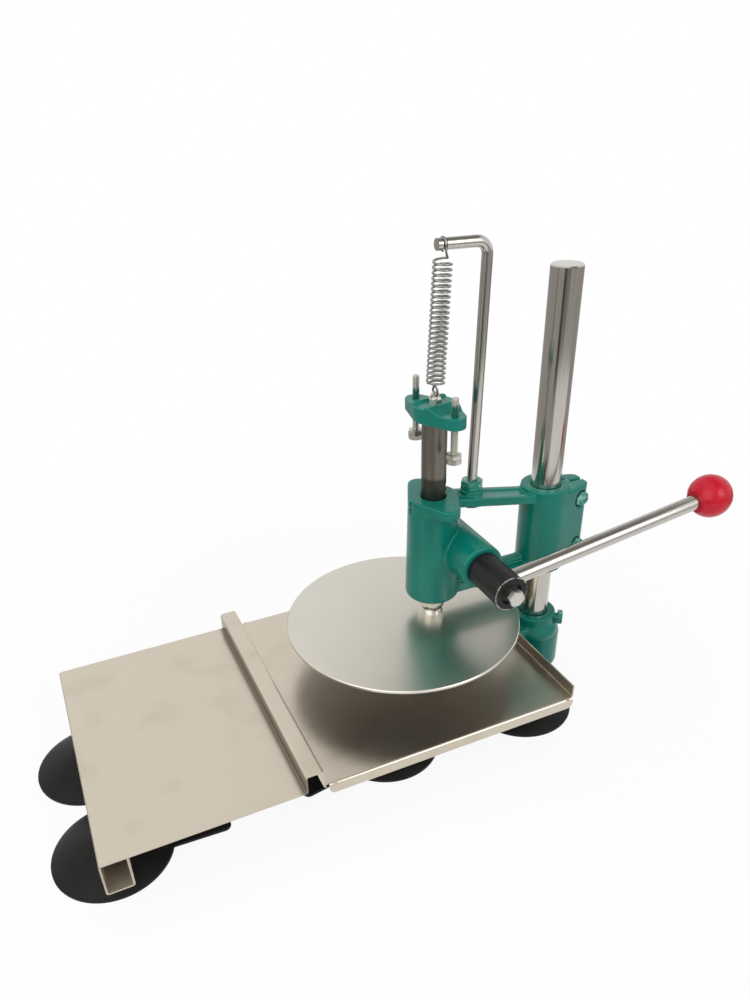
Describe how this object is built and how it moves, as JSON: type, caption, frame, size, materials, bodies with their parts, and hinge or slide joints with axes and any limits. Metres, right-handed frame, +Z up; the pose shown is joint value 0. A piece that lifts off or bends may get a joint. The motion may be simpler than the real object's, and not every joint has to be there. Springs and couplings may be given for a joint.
{
  "type": "dough press",
  "caption": "Bench dough press: a long lever turns a pinion that drives a rack ram down, so its round plate flattens dough on a folded steel tray standing on suction cups.",
  "frame": {"origin": "middle of the object's footprint, on the surface that the suction cups stand on", "axes": "+X along the base towards the column, +Y towards the back, +Z up; the lever and its pinion barrel face -Y"},
  "size_m": [0.6484, 0.25, 0.4427],
  "materials": {
    "stainless_sheet": "satin stainless sheet with a fine grain",
    "disc_steel": "satin stainless plate",
    "green_paint": "glossy teal-green paint over a casting",
    "chrome_plate": "bright chrome plate",
    "ram_steel": "dark oiled steel",
    "black_steel": "blackened steel with worn bright edges",
    "zinc_plate": "zinc-plated steel",
    "spring_steel": "bright spring wire",
    "red_plastic": "glossy red moulded ball",
    "black_rubber": "soft black rubber"
  },
  "bodies": {
    "base": {"base_sheet": "stainless_sheet", "cast_base": "green_paint", "tray_screws": "zinc_plate", "suction_cup_front_left": "black_rubber", "suction_cup_back_left": "black_rubber", "suction_cup_front_middle": "black_rubber", "suction_cup_back_middle": "black_rubber", "suction_cup_front_right": "black_rubber", "suction_cup_back_right": "black_rubber", "cup_studs": "zinc_plate", "cup_nuts": "zinc_plate", "column": "chrome_plate", "foot_set_screw": "zinc_plate"},
    "head": {"press_head": "green_paint", "clamp_bolts": "zinc_plate", "guide_screws": "zinc_plate", "spring_post": "chrome_plate", "post_nut": "zinc_plate", "return_spring": "spring_steel"},
    "handle": {"pinion_shaft": "black_steel", "lever_rod": "chrome_plate", "lever_bolt": "zinc_plate", "ball_knob": "red_plastic", "shaft_washer": "zinc_plate", "shaft_screw": "zinc_plate"},
    "plunger": {"ram": "ram_steel", "yoke": "green_paint", "yoke_bolt": "zinc_plate", "disc_nut": "chrome_plate", "disc_washer_ring": "chrome_plate", "press_disc": "disc_steel"},
    "stop_front": {"stop_bolt_front": "zinc_plate", "stop_nut_front": "zinc_plate"},
    "stop_rear": {"stop_bolt_rear": "zinc_plate", "stop_nut_rear": "zinc_plate"}
  },
  "joints": [
    {"name": "head_height", "type": "slide", "parent": "base", "child": "head", "axis": [0, 0, 1], "range_m": [-0.004, 0.17]},
    {"name": "handle_turn", "type": "hinge", "parent": "head", "child": "handle", "pos_m": [0.07927, 0, 0.1769], "axis": [0, -1, 0], "range_deg": [0, 190.9]},
    {"name": "ram_slide", "type": "slide", "parent": "head", "child": "plunger", "axis": [0, 0, -1], "range_m": [0, 0.04], "stiffness_N_per_m": 1360, "springref_m": -0.03, "deforming": ["return_spring"]},
    {"name": "stop_front_adjust", "type": "slide", "parent": "plunger", "child": "stop_front", "axis": [0, 0, 1], "range_m": [0, 0.02]},
    {"name": "stop_rear_adjust", "type": "slide", "parent": "plunger", "child": "stop_rear", "axis": [0, 0, 1], "range_m": [-0.0045, 0.0155]}
  ],
  "couplings": [
    {"joint": "ram_slide", "follows": "handle_turn", "m_per_rad": 0.012}
  ]
}
